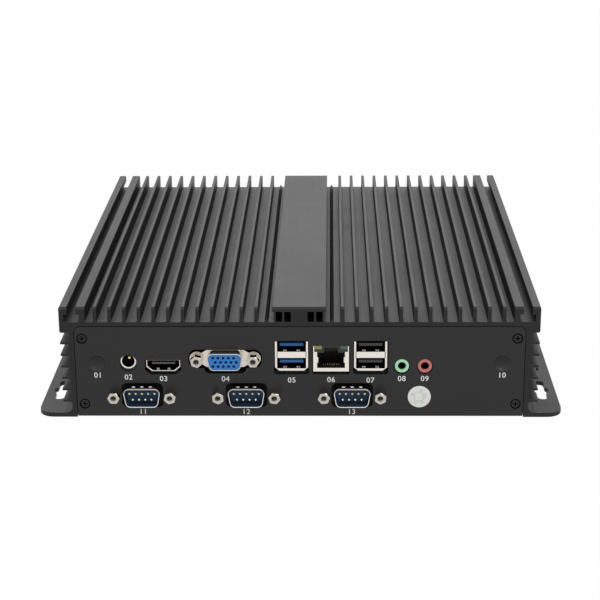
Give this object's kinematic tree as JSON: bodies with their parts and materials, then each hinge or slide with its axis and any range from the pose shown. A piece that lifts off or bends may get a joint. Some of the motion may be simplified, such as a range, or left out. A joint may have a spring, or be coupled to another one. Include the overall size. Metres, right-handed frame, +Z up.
{
  "type": "fanless industrial computer",
  "caption": "Flat fanless industrial computer: finned dark aluminium body with foot flanges, a black front panel of sockets and a power button at the back.",
  "frame": {"origin": "centre of the whole object's bounding box, connectors included, on the plane of the foot flanges' underside", "axes": "+Z up, -Y out of the socket panel, +X to the right when facing the sockets"},
  "size_m": [0.234, 0.233, 0.0518],
  "materials": {
    "housing_alu": "dark grey anodised, fine bead blasted",
    "panel_alu": "black anodised, satin",
    "rear_panel_alu": "black anodised, satin",
    "cover_steel": "black powder coat",
    "screw_steel": "nickel plated",
    "black_screw": "black oxide",
    "shell_steel": "bright nickel plated",
    "jackscrew_steel": "nickel plated",
    "pin_gold": "gold plated",
    "contact_gold": "gold plated",
    "port_blue": "moulded",
    "serial_blue": "moulded",
    "tongue_blue": "moulded",
    "tongue_black": "moulded",
    "socket_black": "moulded",
    "audio_green": "moulded",
    "mic_pink": "moulded",
    "plug_black": "moulded",
    "lamp_yellow": "clear tinted",
    "lamp_green": "clear tinted",
    "status_green": "clear tinted",
    "sticker_paper": "printed label stock",
    "button_steel": "satin",
    "barrel_steel": "satin",
    "board_green": "solder mask",
    "standoff_brass": "plain",
    "chip_black": "moulded",
    "pad_grey": "soft gap filler",
    "block_alu": "milled",
    "cell_steel": "plain"
  },
  "bodies": {
    "computer": {"housing": "housing_alu", "front_panel": "panel_alu", "rear_panel": "rear_panel_alu", "bottom_cover": "cover_steel", "front_panel_screws": "black_screw", "rear_panel_screws": "black_screw", "bottom_cover_screws": "black_screw", "mainboard": "board_green", "board_standoffs": "standoff_brass", "board_screws": "screw_steel", "serial_board": "board_green", "board_link": "socket_black", "processor": "chip_black", "thermal_pads": "pad_grey", "heat_block": "block_alu", "heat_block_screws": "screw_steel", "power_coils": "chip_black", "memory_socket": "socket_black", "memory_module": "board_green", "drive_socket": "socket_black", "storage_drive": "board_green", "drive_post": "standoff_brass", "drive_screw": "screw_steel", "cell_holder": "socket_black", "coin_cell": "cell_steel", "power_jack_body": "socket_black", "power_jack_sleeve": "shell_steel", "power_jack_pin": "pin_gold", "display_socket_shell": "shell_steel", "display_socket_tongue": "socket_black", "monitor_port_shell": "shell_steel", "monitor_port_insert": "port_blue", "port_jackscrews": "jackscrew_steel", "blue_stack_shell": "shell_steel", "blue_stack_tongues": "tongue_blue", "black_stack_shell": "shell_steel", "black_stack_tongues": "tongue_black", "network_jack_shell": "shell_steel", "network_jack_insert": "socket_black", "network_jack_contacts": "contact_gold", "network_lamp_left": "lamp_yellow", "network_lamp_right": "lamp_green", "audio_jack": "audio_green", "mic_jack": "mic_pink", "antenna_plug_left": "plug_black", "antenna_plug_right": "plug_black", "round_sticker": "sticker_paper", "button_barrel": "barrel_steel", "button_nut": "barrel_steel", "status_lamp": "status_green", "serial_port_1_shell": "shell_steel", "serial_port_1_insert": "serial_blue", "serial_port_1_pins": "pin_gold", "serial_port_2_shell": "shell_steel", "serial_port_2_insert": "serial_blue", "serial_port_2_pins": "pin_gold", "serial_port_3_shell": "shell_steel", "serial_port_3_insert": "serial_blue", "serial_port_3_pins": "pin_gold"},
    "button": {"power_button": "button_steel"}
  },
  "joints": [
    {"name": "power_button_press", "type": "slide", "parent": "computer", "child": "button", "axis": [0, -1, 0], "range_m": [0, 0.0012], "stiffness_N_per_m": 400}
  ]
}
